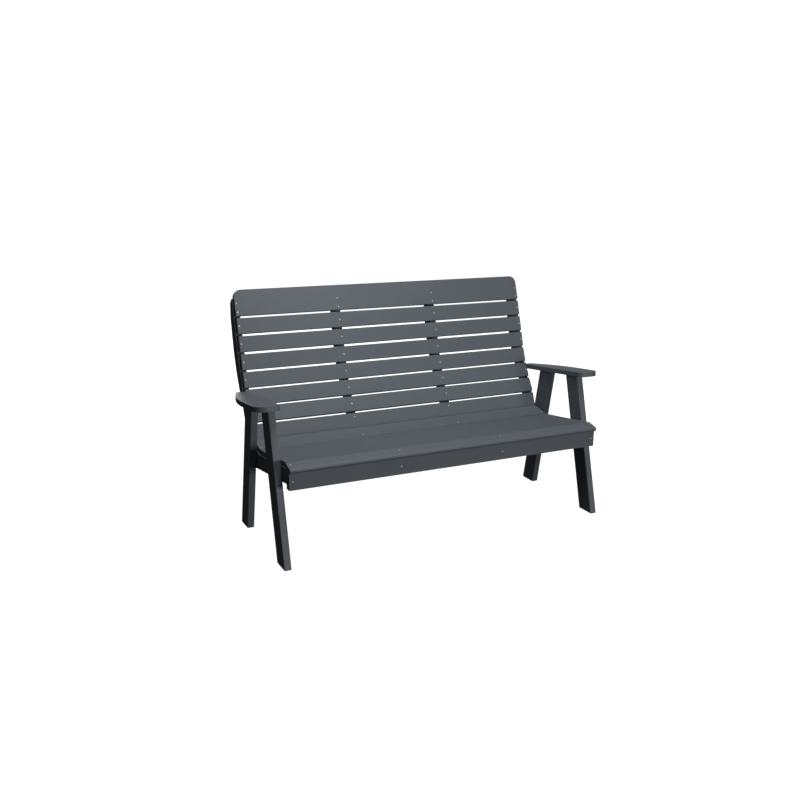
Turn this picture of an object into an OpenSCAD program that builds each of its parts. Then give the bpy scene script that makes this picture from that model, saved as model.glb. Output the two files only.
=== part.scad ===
// Slatted garden bench with a contoured back and paddle arms.
// X runs along the bench, Y points to the back, Z is up, and the origin is
// on the ground under the middle of the overall box. Side profiles are
// drawn as [y, z] with y counted from the toe of the front legs.

/* [Frame] */
// Length over the outer faces of the end joists
frame_length = 1524; // [1150:1:1900]
// Thickness of the frame lumber: legs, joists, ribs, apron and rail
frame_t = 31.75; // [26:0.25:38]
// Width of the lumber for the legs
leg_w = 88.9; // [74:0.1:106]
// Height of the rear rail
rail_h = 88.9; // [74:0.1:96]
// Height of the apron at its front face
apron_h = 74.5; // [62:0.5:88]
// How far the apron stands behind the toe of the front legs
apron_set = 20.4; // [10:0.1:40]
// Depth of the joists at the apron
joist_h = 50; // [42:0.5:60]
// Fall of the joists' lower edge towards the back, in degrees
joist_fall = 8.1; // [4:0.1:10]

/* [Legs] */
// Distance between the toes of the front and rear legs
leg_spread = 497; // [440:1:560]
// Backward lean of the front legs, in degrees
front_lean = 15.7; // [8:0.1:18]
// Forward lean of the rear legs, in degrees
rear_lean = 9.4; // [4:0.1:12]

/* [Seat] */
// Height of the seat's crown, where its front and middle boards meet
crown_z = 445.8; // [400:0.1:500]
// Level depth of the front seat board
front_board = 60; // [54:0.5:74]
// Level depth of the middle seat board
middle_board = 340; // [284:1:352]
// Level depth of the rear seat board
rear_board = 94; // [84:0.5:112]
// How far the seat's nose stands in front of the apron
nose_reach = 16.4; // [8:0.1:24]
// Fall of the front seat board towards the nose, in degrees
front_fall = 13; // [8:0.5:16]
// Fall of the middle seat board towards the back, in degrees
middle_fall = 8; // [5:0.1:10]
// Rise of the rear seat board towards the back, in degrees
rear_rise = 12.2; // [6:0.1:16]
// Gap between seat boards
seat_gap = 3; // [2:0.5:5]

/* [Back] */
// Thickness of the slats, seat boards and arms
slat_t = 22.2; // [18:0.1:26]
// Width of a back slat
slat_w = 72.7; // [60:0.1:88]
// Gap between back slats
slat_gap = 9.6; // [6:0.1:12]
// Gap above the lowest back slat
first_gap = 5; // [3:0.5:9]
// Height of the crest board above the slats
crest_w = 119.3; // [100:0.1:150]
// Radius of the crest board's top corners
crest_r = 34; // [20:1:40]
// How far the slats stop short of the frame at each end
slat_inset = 6; // [3:0.5:12]
// Depth of the back ribs where they are deepest
rib_depth = 63; // [58:1:72]

/* [Arms] */
// Width of an arm at its widest
arm_w = 107; // [92:1:128]
// How far an arm's inner edge stands inside the legs
arm_inset = 10; // [7:0.5:24]
// Height of the arm's underside above the toe of the front legs
arm_z = 662.5; // [600:0.5:720]
// Fall of the arms towards the back, in degrees
arm_fall = 6.7; // [3:0.1:9]
// How far the arm's front stands behind the toe of the front legs
arm_front = 128; // [106:1:152]
// How far the arm's rear end stands behind the toe of the front legs
arm_tail = 613; // [560:1:640]

/* [Fasteners] */
// Diameter of the slat and frame screws
screw_d = 5; // [4:0.1:6]
// Diameter of a screw head
screw_head_d = 7.6; // [6.5:0.1:10]
// Diameter of the leg bolts
bolt_d = 9.5; // [8:0.1:12]
// Clearance round each screw and bolt
fit = 0.15; // [0.1:0.05:0.3]

/* [Hidden] */
$fn = 32;
// Recline of each back board from upright, from the seat to the crest
recline = [19.5, 31.7, 27.3, 21.7, 17.2, 18, 17.6, 20];
slat_count = len(recline) - 1;
half_length = frame_length / 2;
end_x = half_length - frame_t / 2;
third_x = frame_length / 6;
frame_xs = [-end_x, -third_x, third_x, end_x];
slat_half = half_length - slat_inset;
frame_names = ["left", "mid_left", "mid_right", "right"];

// Seat profile: nose, crown, dip and rear edge of the top face
nose_y = apron_set - nose_reach;
crown_y = nose_y + front_board;
dip_y = crown_y + middle_board;
rear_y = dip_y + rear_board;
nose_z = crown_z - front_board * tan(front_fall);
dip_z = crown_z - middle_board * tan(middle_fall);
rear_z = dip_z + rear_board * tan(rear_rise);
front_drop = slat_t / cos(front_fall);
middle_drop = slat_t / cos(middle_fall);
rear_drop = slat_t / cos(rear_rise);
under_nose = nose_z - front_drop;

// Joists run from the apron's rear face to the rear rail
joist_y0 = apron_set + frame_t;
apron_top0 = under_nose + (apron_set - nose_y) * tan(front_fall);
joist_bottom0 = apron_top0 - joist_h;
function joist_bottom(y) = joist_bottom0 - (y - apron_set) * tan(joist_fall);

// Shares of the ribs' depth behind the foot of each back board
rib_shares = [0.88, 0.72, 0.58, 0.74, 0.9, 1, 0.95, 0.82];

// Rear faces of the back boards as a chain of [y, z] points, two per board
function step_of(a, d) = [sin(a) * d, cos(a) * d];
function board_w(i) = i == slat_count ? crest_w : slat_w;
foot_lift = 9;
foot_y = rear_y + seat_gap + slat_t * cos(recline[0]);
foot = [foot_y, rear_z - rear_drop + foot_lift];
function board_foot(i) = i == 0 ? foot
    : board_foot(i - 1) + step_of(recline[i - 1], board_w(i - 1))
        + step_of((recline[i - 1] + recline[i]) / 2, i == 1 ? first_gap : slat_gap);
function board_top(i) = board_foot(i) + step_of(recline[i], board_w(i));
function behind(a, d) = [cos(a) * d, -sin(a) * d];
function rib_depth_at(i) = rib_depth * rib_shares[i];
crest_top = board_top(slat_count);

back_face = [for (i = [0 : slat_count], s = [0, 1])
    (s == 0 ? board_foot(i) : board_top(i)) - behind(recline[i], slat_t)];

// Ribs stop below the crest's top edge, and their tops fall to the rear
rib_top_gap = 36;
rib_top_fall = 14;
rib_top_share = 0.46;
top_lean = recline[slat_count];
rib_end = crest_top - step_of(top_lean, rib_top_gap);
rib_front = [for (i = [0 : slat_count], s = [0, 1])
    s == 0 ? board_foot(i) : i == slat_count ? rib_end : board_top(i)];
rib_rear = [for (i = [slat_count : -1 : 0])
    board_foot(i) + behind(recline[i], rib_depth_at(i))];
rib_shoulder = rib_end + behind(top_lean, rib_depth * rib_top_share) - step_of(top_lean, rib_top_fall);
heel_depth = 400;
heel = step_of(recline[0], 140);

// The rear rail stands behind the joists, and the ribs are notched over it
rail_y = foot_y + 26;
rail_z = joist_bottom(rail_y);
rail_top = rail_z + rail_h;

// Box of the whole bench along Y
back_reach = max([for (p = concat(rib_rear, [rib_shoulder, crest_top])) p[0]]);
front_reach = min(0, nose_y);
y_shift = -(back_reach + front_reach) / 2;

// Arms, drawn in their own tilted plane
arm_slope = tan(arm_fall);
arm_in_x = half_length - arm_inset;
arm_out_x = arm_in_x + arm_w;
arm_corner = 50;
arm_inner_corner = 24;
arm_sweep = 852;
arm_wide = (arm_front + 162) / cos(arm_fall);
arm_start = arm_front / cos(arm_fall);
arm_end = arm_tail / cos(arm_fall);

// Legs, cut level at the ground and along the arm at the top
front_cut = leg_w / cos(front_lean);
rear_cut = leg_w / cos(rear_lean);
leg_x = half_length + frame_t / 2;
function meet_arm(y, lean) = (arm_z - y * arm_slope) / (1 + tan(lean) * arm_slope);
function edge_top(y, lean) = [y + meet_arm(y, lean) * tan(lean), meet_arm(y, lean)];

// Screws and bolts
screw_r = screw_d / 2;
head_r = screw_head_d / 2;
head_deep = head_r - screw_r;
grip = 28;
slat_screw = slat_t + grip;
frame_screw = frame_t + grip;
lap_screw = frame_t - 4;
front_screw = 18;
middle_screw = 45;
rear_screw = 23;
crest_screws = [16, 57];
slat_screw_part = 0.5;
foot_screw_part = 0.76;
function screw_spots(i) = i == slat_count ? crest_screws
    : [slat_w * (i == 0 ? foot_screw_part : slat_screw_part)];
plug_deep = 8;
plug_r = head_r + 1;
arm_screw = slat_t - plug_deep + 55;
bolt_r = bolt_d / 2;
bolt_head_r = bolt_d * 1.1;
bolt_head_t = bolt_d * 0.42;
washer_r = bolt_d * 1.2;
washer_t = 2;
nut_r = bolt_d * 0.92;
nut_t = bolt_d * 0.8;
front_bolt_z = crown_z - 70;
rear_bolt_z = rear_z - 80;
bolt_spots = [[front_cut / 2 + front_bolt_z * tan(front_lean), front_bolt_z],
    [leg_spread + rear_cut / 2 - rear_bolt_z * tan(rear_lean), rear_bolt_z]];
leg_screw_spots = [bolt_spots[0] + [20, -16], bolt_spots[1] + [-20, 16]];
lap_spots = [[rail_y - 17, rail_z + 44], [rail_y - 17, rail_z + 88]];
rail_spots = [rail_z + 22, rail_z + 66];

// Seat screws as [y, height of the top face, tilt of the board]
function front_top(y) = crown_z - (crown_y - y) * tan(front_fall);
function middle_top(y) = crown_z - (y - crown_y) * tan(middle_fall);
function rear_top(y) = dip_z + (y - dip_y) * tan(rear_rise);
seat_spots = [
    [crown_y - front_screw, front_top(crown_y - front_screw), front_fall],
    [crown_y + middle_screw, middle_top(crown_y + middle_screw), -middle_fall],
    [dip_y - middle_screw, middle_top(dip_y - middle_screw), -middle_fall],
    [dip_y + rear_screw, rear_top(dip_y + rear_screw), rear_rise]];

lumber = [0.33, 0.35, 0.38];
steel = [0.78, 0.79, 0.80];

// Extrudes a side profile from x0 to x1
module across(x0, x1) {
    translate([x0, y_shift, 0])
        rotate([90, 0, 90])
            linear_extrude(x1 - x0)
                children();
}

// Puts its children at [y, z] of the side profile, turned about X
module at(x, p, turn = 0) {
    translate([x, p[0] + y_shift, p[1]])
        rotate([turn, 0, 0])
            children();
}

// Countersunk screw with its head at the origin and its point down
module screw(length, gap = 0) {
    translate([0, 0, -head_deep])
        cylinder(h = head_deep, r1 = screw_r + gap, r2 = head_r + gap);
    translate([0, 0, -length - gap])
        cylinder(h = length + gap, r = screw_r + gap);
    if (gap > 0)
        cylinder(h = 1, r = head_r + gap);
}

module slat_screws_of(i, gap = 0) {
    for (x = frame_xs, v = screw_spots(i))
        at(x, board_foot(i) + step_of(recline[i], v) - behind(recline[i], slat_t), 90 - recline[i])
            screw(slat_screw, gap);
}

module seat_screws_of(spots, gap = 0) {
    for (x = frame_xs, s = spots)
        at(x, [s[0], s[1]], s[2])
            screw(slat_screw, gap);
}

module apron_screws(gap = 0) {
    color(steel)
        for (x = frame_xs)
            at(x, [apron_set, apron_top0 - apron_h / 2], 90)
                screw(frame_screw, gap);
}

module rail_screws(gap = 0) {
    color(steel)
        for (x = frame_xs, z = rail_spots)
            at(x, [rail_y + frame_t, z], -90)
                screw(frame_screw, gap);
}

// Sideways screws start on the inner face of a frame and point outwards
module sideways(x, p) {
    side = x < 0 ? 1 : -1;
    at(x + side * frame_t / 2, p)
        rotate([0, side * 90, 0])
            children();
}

module lap_screws(gap = 0) {
    color(steel)
        for (x = frame_xs, p = lap_spots)
            sideways(x, p)
                screw(lap_screw, gap);
}

module leg_screws(gap = 0) {
    color(steel)
        for (x = [-end_x, end_x], p = leg_screw_spots)
            sideways(x, p)
                screw(frame_screw - 6, gap);
}

// Side profile of a joist, with the seat boards' undersides as its top
module joist_profile() {
    polygon([
        [joist_y0, joist_bottom(joist_y0)],
        [rail_y, rail_z],
        [rail_y, rear_z - rear_drop],
        [rear_y, rear_z - rear_drop],
        [dip_y, dip_z - rear_drop],
        [dip_y, dip_z - middle_drop],
        [crown_y, crown_z - middle_drop],
        [crown_y, crown_z - front_drop],
        [joist_y0, front_top(joist_y0) - front_drop]]);
}

// Side profile of a rib, ending on the joist's lower edge and the rail
module rib_profile() {
    difference() {
        polygon(concat([foot - heel], rib_front, [rib_shoulder], rib_rear,
            [foot + behind(recline[0], rib_depth_at(0)) - heel]));
        polygon([[0, -heel_depth], [0, joist_bottom(0)], [rail_y, rail_z], [rail_y, -heel_depth]]);
        translate([rail_y, -heel_depth])
            square([heel_depth, rail_top + heel_depth]);
    }
}

// The half of a frame's thickness that faces away from the bench's middle
module outer_half(x) {
    across(x < 0 ? x - frame_t / 2 : x, x < 0 ? x : x + frame_t / 2)
        children();
}

module inner_half(x) {
    across(x < 0 ? x : x - frame_t / 2, x < 0 ? x + frame_t / 2 : x)
        children();
}

module joist(i) {
    x = frame_xs[i];
    color(lumber)
        difference() {
            across(x - frame_t / 2, x + frame_t / 2)
                joist_profile();
            inner_half(x)
                rib_profile();
            seat_screws_of(seat_spots, fit);
            apron_screws(fit);
            rail_screws(fit);
            lap_screws(fit);
            leg_screws(fit);
            leg_bolt_holes();
        }
}

module rib(i) {
    x = frame_xs[i];
    color(lumber)
        difference() {
            across(x - frame_t / 2, x + frame_t / 2)
                rib_profile();
            outer_half(x)
                translate([0, -heel_depth])
                    square([rail_y, rear_z - rear_drop + heel_depth]);
            for (k = [0 : slat_count])
                slat_screws_of(k, fit);
            rail_screws(fit);
            lap_screws(fit);
            leg_screws(fit);
            leg_bolt_holes();
        }
}

// Seat board with plumb edges between two points of the seat profile
module seat_board(p, q, drop) {
    polygon([p, q, q - [0, drop], p - [0, drop]]);
}

module seat_front_board() {
    edge = crown_y - seat_gap / 2;
    nose_r = slat_t / 2;
    color(lumber)
        difference() {
            across(-half_length, half_length)
                difference() {
                    translate([nose_y, nose_z])
                        rotate(front_fall) {
                            translate([nose_r, -slat_t])
                                square([front_board * 1.2, slat_t]);
                            translate([nose_r, -nose_r])
                                circle(nose_r);
                        }
                    translate([edge, 0])
                        square([front_board, crown_z * 2]);
                }
            seat_screws_of([seat_spots[0]], fit);
        }
}

module seat_middle_board() {
    y0 = crown_y + seat_gap / 2;
    y1 = dip_y - seat_gap / 2;
    color(lumber)
        difference() {
            across(-slat_half, slat_half)
                seat_board([y0, middle_top(y0)], [y1, middle_top(y1)], middle_drop);
            seat_screws_of([seat_spots[1], seat_spots[2]], fit);
        }
}

module seat_rear_board() {
    y0 = dip_y + seat_gap / 2;
    color(lumber)
        difference() {
            across(-slat_half, slat_half)
                seat_board([y0, rear_top(y0)], [rear_y, rear_z], rear_drop);
            seat_screws_of([seat_spots[3]], fit);
        }
}

// Back boards count from the seat up, and the last one is the crest
module back_board(i) {
    color(lumber)
        difference() {
            at(0, board_foot(i), 90 - recline[i])
                linear_extrude(slat_t)
                    translate([-slat_half, 0])
                        square([2 * slat_half, slat_w]);
            slat_screws_of(i, fit);
        }
}

module crest_board() {
    color(lumber)
        difference() {
            at(0, board_foot(slat_count), 90 - top_lean)
                linear_extrude(slat_t) {
                    translate([-slat_half, 0])
                        square([2 * slat_half, crest_w - crest_r]);
                    translate([crest_r - slat_half, 0])
                        square([2 * (slat_half - crest_r), crest_w]);
                    for (x = [crest_r - slat_half, slat_half - crest_r])
                        translate([x, crest_w - crest_r])
                            circle(crest_r);
                }
            slat_screws_of(slat_count, fit);
        }
}

module front_apron() {
    y1 = apron_set + frame_t;
    bottom = apron_top0 - apron_h;
    color(lumber)
        difference() {
            across(-half_length, half_length)
                polygon([[apron_set, bottom], [y1, bottom],
                    [y1, front_top(y1) - front_drop], [apron_set, apron_top0]]);
            seat_screws_of([seat_spots[0]], fit);
            apron_screws(fit);
        }
}

module rear_rail() {
    color(lumber)
        difference() {
            across(-half_length, half_length)
                translate([rail_y, rail_z])
                    square([frame_t, rail_h]);
            rail_screws(fit);
        }
}

// A leg's side profile leans by lean degrees from its toe at y
module leg_profile(y, cut, lean) {
    polygon([[y, 0], [y + cut, 0], edge_top(y + cut, lean), edge_top(y, lean)]);
}

module leg(side, front) {
    x = side * leg_x;
    color(lumber)
        difference() {
            across(x - frame_t / 2, x + frame_t / 2)
                if (front)
                    leg_profile(0, front_cut, front_lean);
                else
                    leg_profile(leg_spread, rear_cut, -rear_lean);
            leg_bolt_holes();
            leg_screws(fit);
            arm_screws(fit);
        }
}

function arc(c, r, from, to, n) = [for (k = [0 : n])
    c + r * [cos(from + (to - from) * k / n), sin(from + (to - from) * k / n)]];

module arm_outline() {
    polygon(concat(
        [[arm_in_x, arm_end]],
        arc([arm_in_x + arm_inner_corner, arm_start + arm_inner_corner], arm_inner_corner, 180, 270, 8),
        arc([arm_out_x - arm_corner, arm_start + arm_corner], arm_corner, 270, 360, 10),
        arc([arm_out_x - arm_sweep, arm_wide], arm_sweep, 0,
            asin((arm_end - arm_wide) / arm_sweep), 14)));
}

// The arm's inner part stops against the faces of the back boards
module arm(side) {
    color(lumber)
        difference() {
            mirror([side < 0 ? 1 : 0, 0, 0])
                at(0, [0, arm_z], -arm_fall)
                    linear_extrude(slat_t)
                        arm_outline();
            across(-half_length, half_length)
                polygon(concat(back_face, [[arm_tail + 400, crest_top[1]], [arm_tail + 400, foot[1]]]));
            arm_screws(fit);
            arm_plugs();
        }
}

// Heights of the arm screws' places along each leg's middle
arm_spots = [(edge_top(0, front_lean) + edge_top(front_cut, front_lean)) / 2,
    (edge_top(leg_spread, -rear_lean) + edge_top(leg_spread + rear_cut, -rear_lean)) / 2];

module on_arm(depth) {
    for (side = [-1, 1], p = arm_spots)
        at(side * leg_x, p, -arm_fall)
            translate([0, 0, slat_t - depth])
                children();
}

module arm_screws(gap = 0) {
    color(steel)
        on_arm(plug_deep)
            screw(arm_screw, gap);
}

module arm_plugs() {
    color(lumber)
        on_arm(plug_deep)
            cylinder(h = plug_deep, r = plug_r);
}

// Bolts pass through a leg and a joist, with the head outside
module on_bolts(depth) {
    for (side = [-1, 1], p = bolt_spots)
        at(side * (half_length + frame_t), p)
            rotate([0, side * 90, 0])
                translate([0, 0, -depth])
                    children();
}

bolt_grip = 2 * frame_t + washer_t + nut_t + 3;

module leg_bolts() {
    color(steel)
        on_bolts(bolt_grip) {
            cylinder(h = bolt_grip, r = bolt_r);
            translate([0, 0, bolt_grip])
                cylinder(h = bolt_head_t, r1 = bolt_head_r, r2 = bolt_head_r * 0.6);
        }
}

module leg_bolt_holes() {
    on_bolts(bolt_grip)
        cylinder(h = bolt_grip + 1, r = bolt_r + fit);
}

module bolt_washers() {
    color(steel)
        on_bolts(2 * frame_t + washer_t)
            difference() {
                cylinder(h = washer_t, r = washer_r);
                translate([0, 0, -1])
                    cylinder(h = washer_t + 2, r = bolt_r + fit);
            }
}

module bolt_nuts() {
    color(steel)
        on_bolts(2 * frame_t + washer_t + nut_t)
            difference() {
                cylinder(h = nut_t, r = nut_r, $fn = 6);
                translate([0, 0, -1])
                    cylinder(h = nut_t + 2, r = bolt_r + fit);
            }
}

module slat_screws() {
    color(steel)
        for (i = [0 : slat_count])
            slat_screws_of(i);
}

module seat_screws() {
    color(steel)
        seat_screws_of(seat_spots);
}

for (i = [0 : 3]) {
    joist(i);
    rib(i);
}
front_apron();
rear_rail();
seat_front_board();
seat_middle_board();
seat_rear_board();
for (i = [0 : slat_count - 1])
    back_board(i);
crest_board();
leg(-1, true);  // leg_front_left
leg(1, true);  // leg_front_right
leg(-1, false);  // leg_rear_left
leg(1, false);  // leg_rear_right
arm(-1);  // arm_left
arm(1);  // arm_right
slat_screws();
seat_screws();
apron_screws();
rail_screws();
lap_screws();
leg_screws();
leg_bolts();
bolt_washers();
bolt_nuts();
arm_screws();
arm_plugs();
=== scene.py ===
# Slatted garden bench in slate-grey plastic lumber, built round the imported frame
import math
import bpy
import bmesh
from mathutils import Matrix, Vector


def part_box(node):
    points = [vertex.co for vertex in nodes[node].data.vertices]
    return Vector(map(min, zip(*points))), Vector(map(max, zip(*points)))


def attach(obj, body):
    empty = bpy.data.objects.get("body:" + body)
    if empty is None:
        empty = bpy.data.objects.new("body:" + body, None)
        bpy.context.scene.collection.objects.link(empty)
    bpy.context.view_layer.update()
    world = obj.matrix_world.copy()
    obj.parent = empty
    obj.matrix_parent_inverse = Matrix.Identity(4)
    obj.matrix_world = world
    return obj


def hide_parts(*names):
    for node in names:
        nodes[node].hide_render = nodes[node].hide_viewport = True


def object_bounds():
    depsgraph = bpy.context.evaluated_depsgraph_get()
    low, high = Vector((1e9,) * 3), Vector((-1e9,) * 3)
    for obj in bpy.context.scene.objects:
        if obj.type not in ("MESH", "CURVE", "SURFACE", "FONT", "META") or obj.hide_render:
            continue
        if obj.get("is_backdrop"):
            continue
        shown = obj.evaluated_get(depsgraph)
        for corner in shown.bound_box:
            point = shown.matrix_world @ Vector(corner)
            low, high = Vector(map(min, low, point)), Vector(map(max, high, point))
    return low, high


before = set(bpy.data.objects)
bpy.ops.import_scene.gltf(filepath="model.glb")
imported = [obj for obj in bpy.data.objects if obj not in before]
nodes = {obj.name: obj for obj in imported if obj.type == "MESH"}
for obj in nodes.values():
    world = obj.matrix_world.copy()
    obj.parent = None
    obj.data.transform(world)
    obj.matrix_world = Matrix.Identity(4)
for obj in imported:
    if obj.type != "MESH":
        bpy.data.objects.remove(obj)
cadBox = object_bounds()
quarterTurn = math.radians(90)

lumber = {
    "colour": (0.096, 0.111, 0.129),  # slate grey, linear
    "cloud": 0.02,                    # how much broad patches darken or lighten
    "cloudScale": 7.0,
    "line": 0.02,                     # how much the fine drawn lines darken
    "roughness": 0.58,
    "lineScale": 260.0,               # drawn lines per metre across a board
    "lineStretch": 0.012,             # how short a line is against its length
    "lineDepth": 0.00002,
    "pebbleScale": 1500.0,            # moulded skin, in pebbles per metre
    "pebbleDepth": 0.000012,
    "boardTones": 0.012,              # difference between one board and the next
    "toneStep": 2.4,                  # spreads the tones over neighbouring boards
    "boardShift": 0.37,               # metres the pattern moves from board to board
    "glossSpread": (-0.07, 0.09),     # roughness either side of the usual value
}

metal = {
    "colour": (0.72, 0.72, 0.71),
    "roughness": 0.5,
    "brushScale": 1800.0,
}

blackMetal = {
    "colour": (0.022, 0.021, 0.020),
    "roughness": 0.38,
    "brushScale": 1200.0,
}


def addNode(tree, kind, **values):
    node = tree.nodes.new(kind)
    for key, value in values.items():
        setattr(node, key, value)
    return node


def noiseNode(tree, scale, detail, vector, roughness=0.5):
    noise = addNode(tree, "ShaderNodeTexNoise")
    noise.inputs["Scale"].default_value = scale
    noise.inputs["Detail"].default_value = detail
    noise.inputs["Roughness"].default_value = roughness
    tree.links.new(vector, noise.inputs["Vector"])
    return noise.outputs["Fac"]


def rangeNode(tree, value, fromLow, fromHigh, toLow, toHigh):
    span = addNode(tree, "ShaderNodeMapRange")
    span.inputs["From Min"].default_value = fromLow
    span.inputs["From Max"].default_value = fromHigh
    span.inputs["To Min"].default_value = toLow
    span.inputs["To Max"].default_value = toHigh
    tree.links.new(value, span.inputs["Value"])
    return span.outputs["Result"]


def bumpNode(tree, height, depth, below=None):
    bump = addNode(tree, "ShaderNodeBump")
    bump.inputs["Strength"].default_value = 1.0
    bump.inputs["Distance"].default_value = depth
    tree.links.new(height, bump.inputs["Height"])
    if below is not None:
        tree.links.new(below, bump.inputs["Normal"])
    return bump.outputs["Normal"]


def plainMaterial(name, colour, roughness, metallic=0.0):
    material = bpy.data.materials.new(name)
    material.use_nodes = True
    shader = material.node_tree.nodes["Principled BSDF"]
    shader.inputs["Base Color"].default_value = (*colour, 1)
    shader.inputs["Roughness"].default_value = roughness
    shader.inputs["Metallic"].default_value = metallic
    return material, material.node_tree, shader


def lumberMaterial(name, lean=None, tone=1.0, shift=0.0):
    # lean is None for boards along X, or the turn about X of a board in a side plane
    colour = tuple(tone * c for c in lumber["colour"])
    material, tree, shader = plainMaterial(name, colour, lumber["roughness"])
    coords = addNode(tree, "ShaderNodeTexCoord")
    place = addNode(tree, "ShaderNodeMapping")
    tree.links.new(coords.outputs["Object"], place.inputs["Vector"])
    place.inputs["Location"].default_value = (shift, shift * 1.7, shift * 0.6)
    drawn = addNode(tree, "ShaderNodeMapping")
    tree.links.new(place.outputs["Vector"], drawn.inputs["Vector"])
    if lean is None:
        drawn.inputs["Scale"].default_value = (lumber["lineStretch"], 1, 1)
    else:
        place.inputs["Rotation"].default_value = (lean, 0, 0)
        drawn.inputs["Scale"].default_value = (1, 1, lumber["lineStretch"])

    lines = noiseNode(tree, lumber["lineScale"], 4, drawn.outputs["Vector"], roughness=0.6)
    cloud = noiseNode(tree, lumber["cloudScale"], 3, place.outputs["Vector"])
    pebbles = noiseNode(tree, lumber["pebbleScale"], 2, place.outputs["Vector"])

    patches = rangeNode(tree, cloud, 0.3, 0.7, 1 - lumber["cloud"], 1 + lumber["cloud"])
    fine = rangeNode(tree, lines, 0.3, 0.6, 1 - lumber["line"], 1 + lumber["line"])
    both = addNode(tree, "ShaderNodeMath", operation="MULTIPLY")
    tree.links.new(patches, both.inputs[0])
    tree.links.new(fine, both.inputs[1])
    tint = addNode(tree, "ShaderNodeVectorMath", operation="SCALE")
    tint.inputs[0].default_value = colour
    tree.links.new(both.outputs[0], tint.inputs["Scale"])
    tree.links.new(tint.outputs["Vector"], shader.inputs["Base Color"])

    low, high = (lumber["roughness"] + change for change in lumber["glossSpread"])
    tree.links.new(rangeNode(tree, lines, 0.3, 0.7, low, high), shader.inputs["Roughness"])
    relief = bumpNode(tree, lines, lumber["lineDepth"])
    skin = bumpNode(tree, pebbles, lumber["pebbleDepth"], below=relief)
    tree.links.new(skin, shader.inputs["Normal"])
    return material


def metalMaterial(name, look, metallic):
    material, tree, shader = plainMaterial(name, look["colour"], look["roughness"], metallic)
    coords = addNode(tree, "ShaderNodeTexCoord")
    brush = noiseNode(tree, look["brushScale"], 3, coords.outputs["Object"])
    rough = rangeNode(tree, brush, 0.3, 0.7, look["roughness"] - 0.08, look["roughness"] + 0.12)
    tree.links.new(rough, shader.inputs["Roughness"])
    tint = addNode(tree, "ShaderNodeVectorMath", operation="SCALE")
    tint.inputs[0].default_value = look["colour"]
    tree.links.new(rangeNode(tree, brush, 0.3, 0.7, 0.85, 1.1), tint.inputs["Scale"])
    tree.links.new(tint.outputs["Vector"], shader.inputs["Base Color"])
    tree.links.new(bumpNode(tree, brush, 0.00004), shader.inputs["Normal"])
    return material


steel = metalMaterial("stainless_steel", metal, 0.75)
blackSteel = metalMaterial("black_coated_steel", blackMetal, 0.0)
print("metals")

edges = {
    "radius": 0.0026,      # eased arrises of moulded lumber
    "segments": 3,
    "sharp": 40,           # degrees between faces that get an eased arris
    "shortest": 0.006,     # rims of screw holes have shorter edges than this
    "weld": 0.000002,      # corners nearer than this are one corner
    "flat": 0.4,           # degrees within which faces are one flat face
    "smooth": 35,          # degrees below which the shading runs on
}


def mergedCopy(source):
    shape = bmesh.new()
    shape.from_mesh(source.data)
    bmesh.ops.remove_doubles(shape, verts=shape.verts, dist=edges["weld"])
    bmesh.ops.dissolve_limit(shape, angle_limit=math.radians(edges["flat"]),
                             verts=shape.verts, edges=shape.edges)
    return shape


def easeEdges(shape, radius, segments, shortest):
    corner = math.radians(edges["sharp"])
    picked = [e for e in shape.edges
              if len(e.link_faces) == 2
              and e.calc_face_angle(0) > corner
              and e.calc_length() > shortest]
    bmesh.ops.bevel(shape, geom=picked, offset=radius, offset_type="OFFSET",
                    segments=segments, profile=0.5, affect="EDGES", material=-1,
                    clamp_overlap=True)


def finishPiece(shape, name, material, replaced):
    bmesh.ops.recalc_face_normals(shape, faces=shape.faces)
    mesh = bpy.data.meshes.new(name)
    shape.to_mesh(mesh)
    shape.free()
    mesh.materials.append(material)
    mesh.polygons.foreach_set("use_smooth", [True] * len(mesh.polygons))
    mesh.set_sharp_from_angle(angle=math.radians(edges["smooth"]))
    piece = bpy.data.objects.new(name, mesh)
    bpy.context.scene.collection.objects.link(piece)
    even = piece.modifiers.new("even_shading", "WEIGHTED_NORMAL")
    even.mode = "FACE_AREA"        # a wide flat face keeps its own shading
    even.keep_sharp = True
    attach(piece, "root")
    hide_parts(replaced)
    return piece


def easedBoard(node, lean=None, number=0):
    tone = 1 + lumber["boardTones"] * math.sin(lumber["toneStep"] * number)
    shift = lumber["boardShift"] * number
    material = lumberMaterial("lumber_" + node, lean=lean, tone=tone, shift=shift)
    shape = mergedCopy(nodes[node])
    easeEdges(shape, edges["radius"], edges["segments"], edges["shortest"])
    return finishPiece(shape, "eased_" + node, material, node)


longBoards = ["seat_front_board", "seat_middle_board", "seat_rear_board", "front_apron",
              "rear_rail", "crest_board"] + [f"back_slat_{i}" for i in range(1, 8)]
for count, node in enumerate(longBoards):
    easedBoard(node, number=count)
print("boards along the bench")

# turn about X that brings each kind of board's length to the texture's Z
leans = {
    "joist": quarterTurn - 0.14,
    "rib": 0.36,
    "leg_front": 0.274,
    "leg_rear": -0.164,
    "arm": quarterTurn + 0.117,
}
for count, spot in enumerate(["left", "mid_left", "mid_right", "right"]):
    easedBoard("joist_" + spot, leans["joist"], 14 + count)
    easedBoard("rib_" + spot, leans["rib"], 19 + count)
for count, spot in enumerate(["left", "right"]):
    for kind in ("leg_front", "leg_rear", "arm"):
        easedBoard(kind + "_" + spot, leans[kind], 24 + 3 * count + len(kind))
plugs = nodes["arm_plugs"].data
plugs.materials.clear()
plugs.materials.append(lumberMaterial("lumber_plugs", lean=leans["arm"], shift=3.3))
print("frames, legs and arms")

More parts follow.
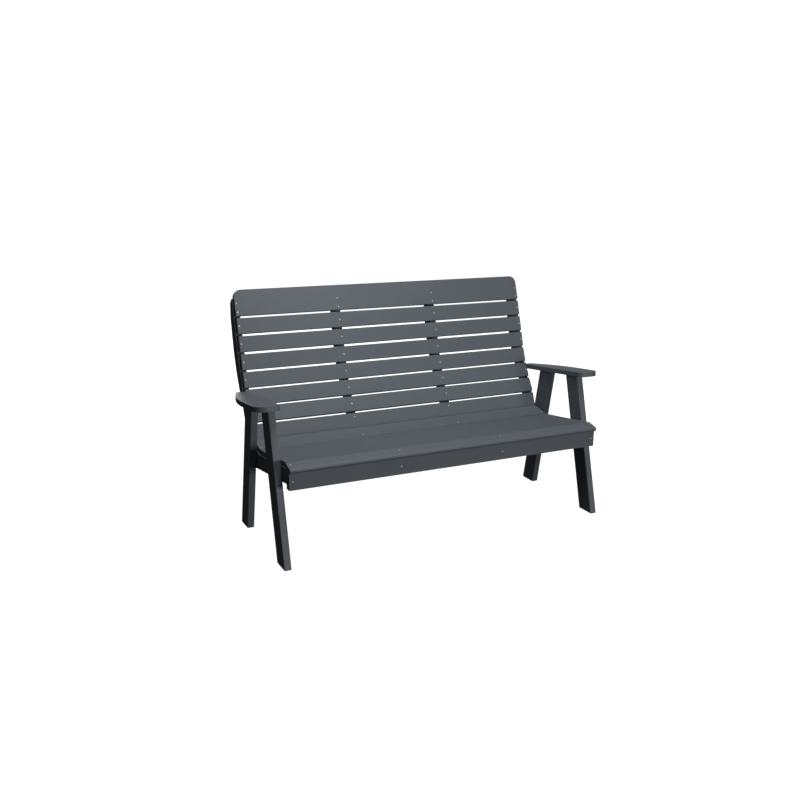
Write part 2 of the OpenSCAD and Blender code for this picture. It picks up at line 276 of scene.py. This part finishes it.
screwLook = {
    "segments": 24,
    "lobes": 6,            # points of the star recess
    "recess": 0.45,        # recess radius against the head's
    "recessDepth": 0.0013,
    "lobeDepth": 0.2,
    "rim": 0.00025,        # bevel round the top of the head
    "tipLength": 0.006,
    "tipWidth": 0.12,      # end of the tip against the shank
    "tipBlunt": 0.0002,    # how far the tip stops short
    "twist": 1.3,          # turn between one screw's recess and the next
}


def islandsOf(shape):
    left = set(shape.verts)
    while left:
        island = set()
        edge = [left.pop()]
        while edge:
            vert = edge.pop()
            island.add(vert)
            for link in vert.link_edges:
                other = link.other_vert(vert)
                if other in left:
                    left.discard(other)
                    edge.append(other)
        yield island


def screwPlaces(node):
    # the head's middle, the way it faces, its radius and the screw's length
    shape = mergedCopy(nodes[node])
    places = []
    for island in islandsOf(shape):
        faces = {f for v in island for f in v.link_faces}
        caps = sorted(faces, key=lambda f: len(f.verts))[-2:]
        tip, head = sorted(caps, key=lambda f: f.calc_area())
        middle = sum((v.co for v in head.verts), Vector()) / len(head.verts)
        end = sum((v.co for v in tip.verts), Vector()) / len(tip.verts)
        radius = (head.verts[0].co - middle).length
        shank = (tip.verts[0].co - end).length
        places.append((middle, (middle - end).normalized(), radius, shank, (middle - end).length))
    shape.free()
    return places


def ringBelow(shape, ring, radius, height):
    # pulls a new ring of edges down from the last one
    grown = bmesh.ops.extrude_edge_only(shape, edges=ring)["geom"]
    verts = [g for g in grown if isinstance(g, bmesh.types.BMVert)]
    for vert in verts:
        flat = Vector((vert.co.x, vert.co.y, 0)).normalized() * radius
        vert.co = (flat.x, flat.y, height)
    return [g for g in grown if isinstance(g, bmesh.types.BMEdge)]


def screwMesh(radius, shank, length):
    shape = bmesh.new()
    rim = screwLook["rim"]
    bmesh.ops.create_circle(shape, cap_ends=True, radius=radius - rim,
                            segments=screwLook["segments"])
    top = next(iter(shape.faces))
    ring = list(shape.edges)
    hole = radius * screwLook["recess"]
    bmesh.ops.inset_region(shape, faces=[top], thickness=radius - rim - hole)
    for vert in top.verts:
        angle = math.atan2(vert.co.y, vert.co.x)
        vert.co *= 1 + screwLook["lobeDepth"] * math.cos(screwLook["lobes"] * angle)
    floor = bmesh.ops.extrude_discrete_faces(shape, faces=[top])["faces"][0]
    bmesh.ops.translate(shape, vec=(0, 0, -screwLook["recessDepth"]), verts=floor.verts)
    headDepth = radius - shank
    tipLength = screwLook["tipLength"]
    ring = ringBelow(shape, ring, radius, -rim)
    ring = ringBelow(shape, ring, shank, -rim - headDepth)
    ring = ringBelow(shape, ring, shank, tipLength - length)
    ring = ringBelow(shape, ring, shank * screwLook["tipWidth"], screwLook["tipBlunt"] - length)
    bmesh.ops.holes_fill(shape, edges=ring, sides=screwLook["segments"])
    bmesh.ops.recalc_face_normals(shape, faces=shape.faces)
    mesh = bpy.data.meshes.new("one_screw")
    shape.to_mesh(mesh)
    shape.free()
    return mesh


def makeScrews(node):
    places = screwPlaces(node)
    one = screwMesh(*places[0][2:])
    shape = bmesh.new()
    for number, (middle, way, radius, shank, length) in enumerate(places):
        before = len(shape.verts)
        shape.from_mesh(one)
        shape.verts.ensure_lookup_table()
        turn = way.to_track_quat("Z", "Y").to_matrix().to_4x4()
        twist = Matrix.Rotation(screwLook["twist"] * number, 4, "Z")
        bmesh.ops.transform(shape, matrix=Matrix.Translation(middle) @ turn @ twist,
                            verts=shape.verts[before:])
    bpy.data.meshes.remove(one)
    return finishPiece(shape, "made_" + node, steel, node)


for node in ["slat_screws", "seat_screws", "apron_screws", "rail_screws", "lap_screws",
             "leg_screws", "arm_screws"]:
    makeScrews(node)
print("screws")

boltLook = {
    "edge": 0.0004,        # eased edges of washers and nuts
    "steps": 32,
    "domeSteps": 7,
    "lip": 0.0006,         # upright rim below the dome
}


def middleOf(verts):
    low = Vector([min(v.co[k] for v in verts) for k in range(3)])
    high = Vector([max(v.co[k] for v in verts) for k in range(3)])
    return (low + high) / 2


def boltPlaces():
    # each bolt's head circle against the leg, its tip and the way it faces
    shape = mergedCopy(nodes["leg_bolts"])
    places = []
    for island in islandsOf(shape):
        xs = [v.co.x for v in island]
        side = 1 if sum(xs) > 0 else -1
        outer = max(side * x for x in xs)
        inner = min(side * x for x in xs)
        middle = middleOf(island)
        wide = max(island, key=lambda v: (v.co.yz - middle.yz).length)
        radius = (wide.co.yz - middle.yz).length
        slim = min((v.co.yz - middle.yz).length for v in island
                   if abs(side * v.co.x - inner) < 0.0001)
        places.append((middle, side, side * wide.co.x, outer, inner, radius, slim))
    shape.free()
    return places


def makeBolts():
    shape = bmesh.new()
    for middle, side, face, outer, inner, radius, slim in boltPlaces():
        rise = outer - face
        lip = boltLook["lip"]
        step = quarterTurn / boltLook["domeSteps"]
        dome = [(radius * math.cos(step * k), face + lip + (rise - lip) * math.sin(step * k))
                for k in range(boltLook["domeSteps"])]
        profile = [(0, inner), (slim, inner), (slim, face), (radius, face)] + dome + [(0, outer)]
        points = [shape.verts.new((side * along, middle.y + out, middle.z)) for out, along in profile]
        lines = [shape.edges.new((points[k], points[k + 1])) for k in range(len(points) - 1)]
        centre = (0, middle.y, middle.z)
        bmesh.ops.spin(shape, geom=points + lines, cent=centre, axis=(1, 0, 0), dvec=(0, 0, 0),
                       angle=math.radians(360), steps=boltLook["steps"], use_merge=True)
    bmesh.ops.remove_doubles(shape, verts=shape.verts, dist=0.00001)
    return finishPiece(shape, "made_leg_bolts", blackSteel, "leg_bolts")


makeBolts()
for node in ["bolt_washers", "bolt_nuts"]:
    small = mergedCopy(nodes[node])
    easeEdges(small, boltLook["edge"], 2, 0)
    finishPiece(small, "made_" + node, steel, node)
print("bolts, washers and nuts")

floorLook = {
    "left": -14.0,
    "right": 26.0,
    "front": -9.0,
    "back": 12.0,
    "wall": 16.0,
    "sweep": 5.0,          # radius of the curve from floor to wall
    "colour": (0.30, 0.30, 0.30),
    "glow": 1.0,
}


def makeFloor():
    shape = bmesh.new()
    left, right, back = floorLook["left"], floorLook["right"], floorLook["back"]
    corners = [shape.verts.new((x, y, 0)) for x, y in
               ((left, floorLook["front"]), (right, floorLook["front"]), (right, back), (left, back))]
    shape.faces.new(corners)
    rear = [e for e in shape.edges if all(v.co.y > 0 for v in e.verts)]
    ends = [v for v in shape.verts if v.co.y > 0]
    curve = bmesh.ops.spin(shape, geom=rear + ends, cent=(0, back, floorLook["sweep"]),
                           axis=(1, 0, 0), dvec=(0, 0, 0), angle=quarterTurn, steps=16)
    last = [g for g in curve["geom_last"] if isinstance(g, bmesh.types.BMEdge)]
    wall = bmesh.ops.extrude_edge_only(shape, edges=last)["geom"]
    bmesh.ops.translate(shape, vec=(0, 0, floorLook["wall"]),
                        verts=[g for g in wall if isinstance(g, bmesh.types.BMVert)])
    bmesh.ops.recalc_face_normals(shape, faces=shape.faces)
    mesh = bpy.data.meshes.new("studio_floor")
    shape.to_mesh(mesh)
    shape.free()
    mesh.polygons.foreach_set("use_smooth", [True] * len(mesh.polygons))
    material, tree, shader = plainMaterial("pale_floor", floorLook["colour"], 0.9)
    shader.inputs["Emission Color"].default_value = (1, 1, 1, 1)
    shader.inputs["Emission Strength"].default_value = floorLook["glow"]
    mesh.materials.append(material)
    floor = bpy.data.objects.new("studio_floor", mesh)
    bpy.context.scene.collection.objects.link(floor)
    floor.visible_diffuse = False     # the floor sends no light back on the bench
    floor.visible_glossy = False
    floor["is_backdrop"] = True


makeFloor()
print("floor")


# no lamp stands left of the bench, so the outer faces at the left stay dark
lamps = {
    "high": ((0.0, -0.8, 5.5), (0.0, -0.1, 0.45), (1.6, 1.6), 164.0),
    "front_low": ((1.2, -5.0, 0.9), (0.0, 0.0, 0.5), (1.8, 0.6), 100.0),
    "behind": ((0.9, 5.0, 2.0), (0.0, 0.2, 0.5), (2.0, 1.0), 110.0),
    "inner_left": ((-0.45, -0.1, 1.7), (0.8, -0.1, 0.5), (0.2, 0.8), 4.0),
}
worldGlow = 0.045


def makeLamp(name, place, aim, size, watts):
    data = bpy.data.lights.new(name, "AREA")
    data.shape = "RECTANGLE"
    data.size, data.size_y = size
    data.energy = watts
    lamp = bpy.data.objects.new(name, data)
    bpy.context.scene.collection.objects.link(lamp)
    lamp.location = place
    lamp.visible_camera = False
    lamp.rotation_euler = (Vector(aim) - Vector(place)).to_track_quat("-Z", "Y").to_euler()


for name, values in lamps.items():
    makeLamp(name, *values)
world = bpy.data.worlds.new("studio")
bpy.context.scene.world = world
world.use_nodes = True
world.node_tree.nodes["Background"].inputs["Color"].default_value = (1, 1, 1, 1)
rays = addNode(world.node_tree, "ShaderNodeLightPath")
seen = rangeNode(world.node_tree, rays.outputs["Is Camera Ray"], 0, 1, worldGlow, 1)
world.node_tree.links.new(seen, world.node_tree.nodes["Background"].inputs["Strength"])
bpy.context.scene.view_settings.view_transform = "Standard"
print("lights")

cameraSet = {
    "lens": 42.15,
    "left": 1.971,         # distance to the left of the bench's middle
    "front": 3.353,        # distance in front of the front legs' toes
    "height": 1.682,
    "yaw": 26.77,          # degrees from straight at the back, towards +X
    "pitch": 15.0,         # degrees down
    "roll": 1.1,
}


def makeCamera():
    data = bpy.data.cameras.new("camera")
    data.lens = cameraSet["lens"]
    data.clip_start = 0.05
    camera = bpy.data.objects.new("camera", data)
    bpy.context.scene.collection.objects.link(camera)
    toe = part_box("leg_front_left")[0].y
    turn = (Matrix.Rotation(-math.radians(cameraSet["yaw"]), 4, "Z")
            @ Matrix.Rotation(math.radians(90 - cameraSet["pitch"]), 4, "X")
            @ Matrix.Rotation(math.radians(cameraSet["roll"]), 4, "Z"))
    place = Matrix.Translation((-cameraSet["left"], toe - cameraSet["front"], cameraSet["height"]))
    camera.matrix_world = place @ turn
    bpy.context.scene.camera = camera


makeCamera()
print("camera")

boxes = [[list(corner) for corner in box] for box in (cadBox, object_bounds())]
